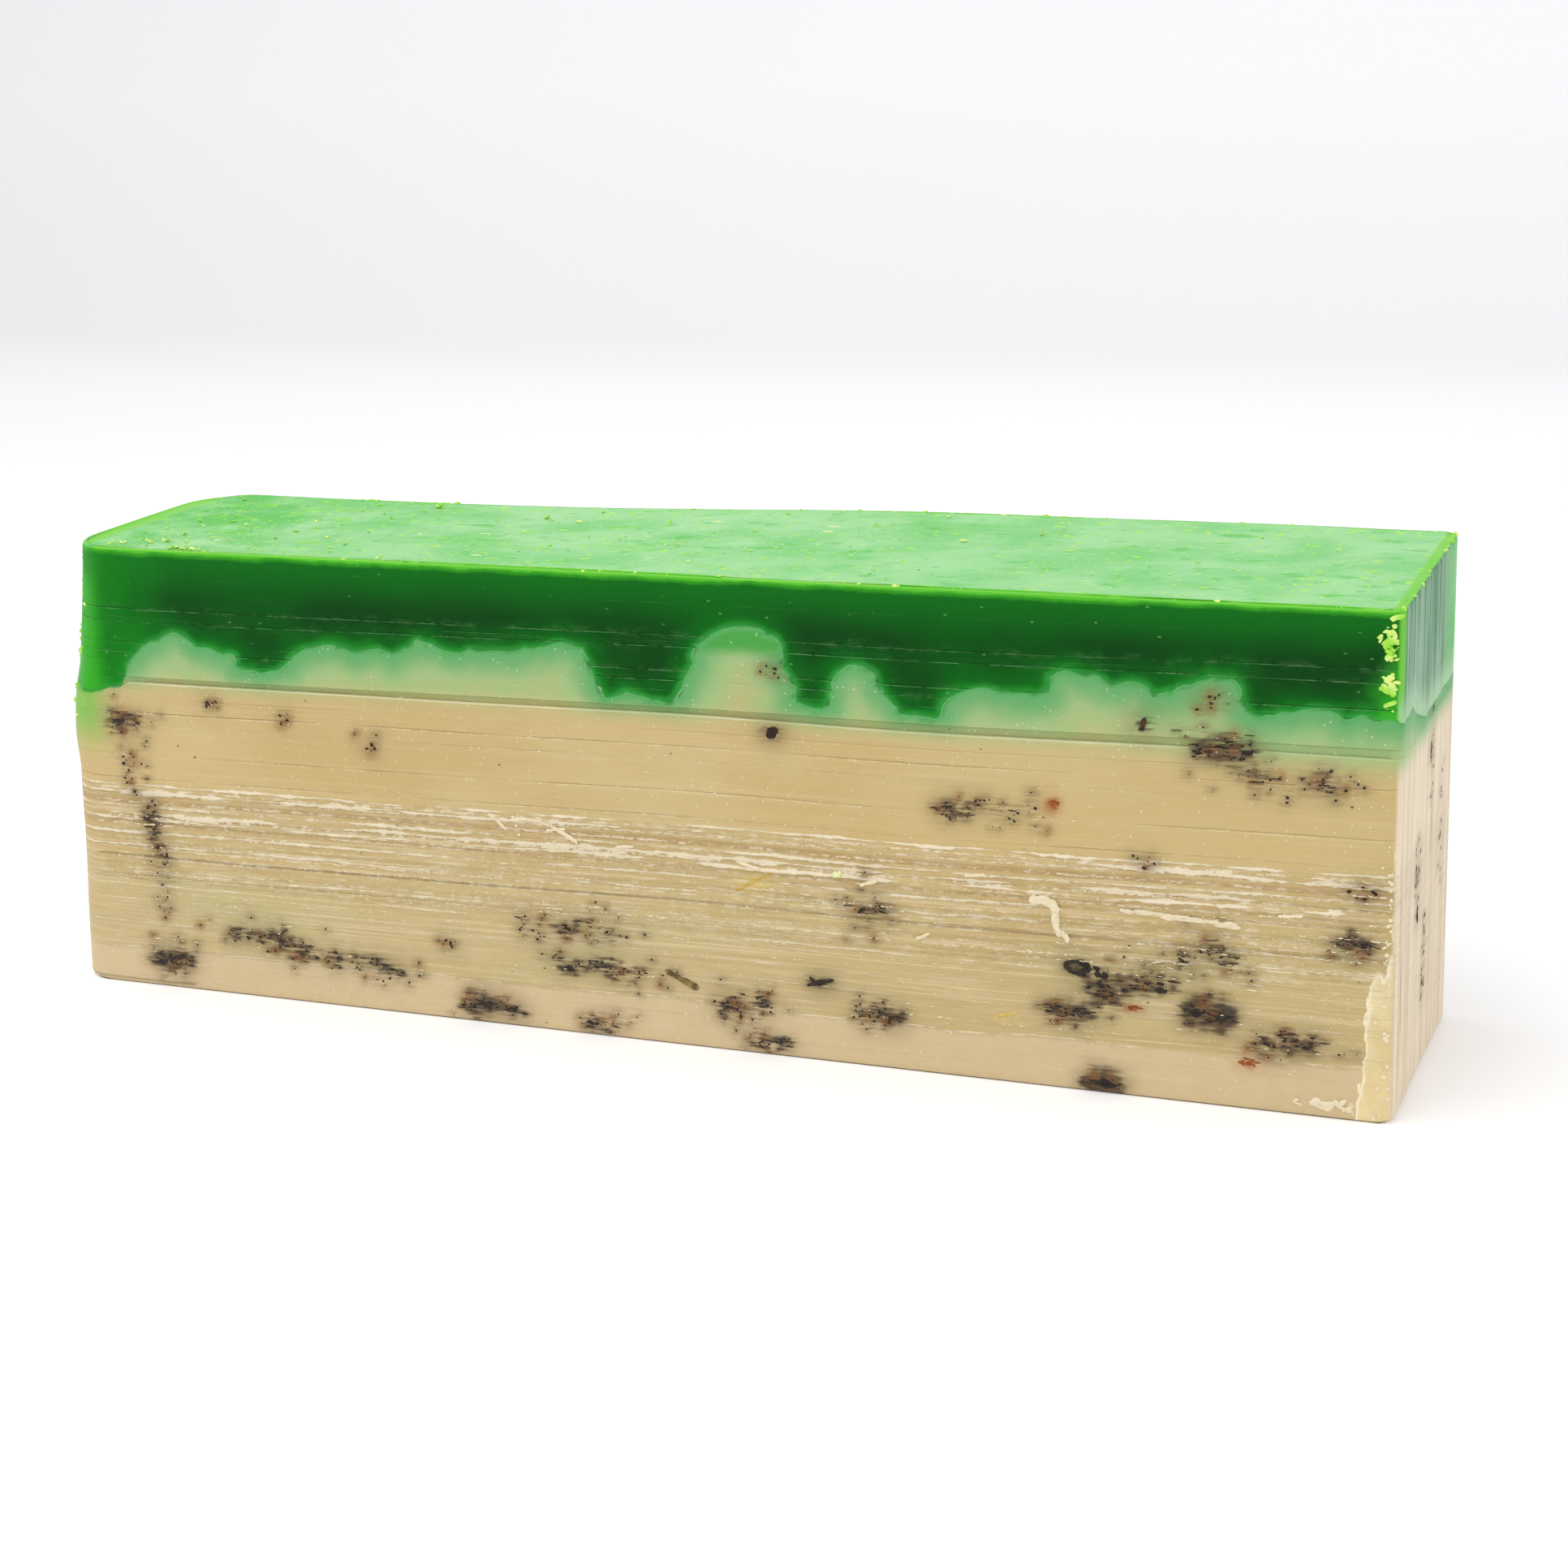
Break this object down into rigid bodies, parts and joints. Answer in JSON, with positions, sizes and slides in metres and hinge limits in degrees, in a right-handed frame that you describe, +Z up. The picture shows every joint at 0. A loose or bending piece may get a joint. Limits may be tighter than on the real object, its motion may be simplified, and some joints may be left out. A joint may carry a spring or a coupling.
{
  "type": "soap loaf",
  "caption": "Rectangular loaf of hand-made soap: a cream base pour with dried leaf pieces, a green pour on its lumpy top, planed front and back faces.",
  "frame": {"origin": "middle of the base face, on the surface the loaf stands on", "axes": "+X along the loaf's length, towards the square-cut end; +Y from the planed front to the back; +Z up, towards the green pour"},
  "size_m": [0.264, 0.0582, 0.0907],
  "materials": {
    "cream_soap": "waxy satin, planed in fine lengthwise ridges",
    "green_soap": "clear green glycerine soap, waxy gloss",
    "dried_leaf": "matt, dry and torn",
    "pale_leaf": "matt, dry",
    "seed": "matt",
    "rust_petal": "matt, soaked",
    "yellow_petal": "matt, soaked",
    "cream_shaving": "dry, matt",
    "green_crumb": "waxy"
  },
  "bodies": {
    "root": {"cream_base": "cream_soap", "green_top": "green_soap", "leaf_stalk": "dried_leaf", "single_leaf": "dried_leaf", "curled_leaf": "pale_leaf", "round_seed": "seed", "upright_seed": "seed", "rust_petal_large": "rust_petal", "rust_petal_small": "rust_petal", "rust_petal_high": "rust_petal", "yellow_petal": "yellow_petal", "yellow_strip": "yellow_petal", "cream_curl_right": "cream_shaving", "cream_curl_mid": "cream_shaving", "green_crumbs": "green_crumb", "pale_crumb": "cream_shaving", "cream_chips": "cream_shaving", "leaf_clump_left_high": "dried_leaf", "leaf_chain_left": "dried_leaf", "leaf_trail_left": "dried_leaf", "leaf_specks_left_peak": "dried_leaf", "leaf_specks_left_mid": "dried_leaf", "leaf_specks_left_inner": "dried_leaf", "leaf_clump_left_corner": "dried_leaf", "leaf_streak_left_low": "dried_leaf", "leaf_streak_left_base": "dried_leaf", "leaf_clump_base_left": "dried_leaf", "leaf_specks_low_left": "dried_leaf", "leaf_streak_mid_left": "dried_leaf", "leaf_streak_mid_low": "dried_leaf", "leaf_clump_base_mid": "dried_leaf", "leaf_streak_centre_low": "dried_leaf", "leaf_clump_base_centre": "dried_leaf", "leaf_clump_centre": "dried_leaf", "leaf_streak_centre_right": "dried_leaf", "leaf_specks_peak": "dried_leaf", "leaf_streak_upper": "dried_leaf", "leaf_specks_right_mid": "dried_leaf", "leaf_clump_right_high": "dried_leaf", "leaf_specks_green": "dried_leaf", "leaf_streak_right_high": "dried_leaf", "leaf_clump_right": "dried_leaf", "leaf_clump_right_edge": "dried_leaf", "leaf_specks_right_edge": "dried_leaf", "leaf_band_right": "dried_leaf", "leaf_band_right_low": "dried_leaf", "leaf_clump_right_low": "dried_leaf", "leaf_clump_base_right": "dried_leaf", "leaf_clump_base_end": "dried_leaf", "leaf_streak_end_high": "dried_leaf", "leaf_streak_end_mid": "dried_leaf", "leaf_streak_end_low": "dried_leaf", "leaf_streak_end_back": "dried_leaf", "leaf_streak_back_low": "dried_leaf", "leaf_clump_back_left": "dried_leaf", "leaf_clump_back_right": "dried_leaf", "leaf_streak_back_mid": "dried_leaf"}
  },
  "joints": []
}
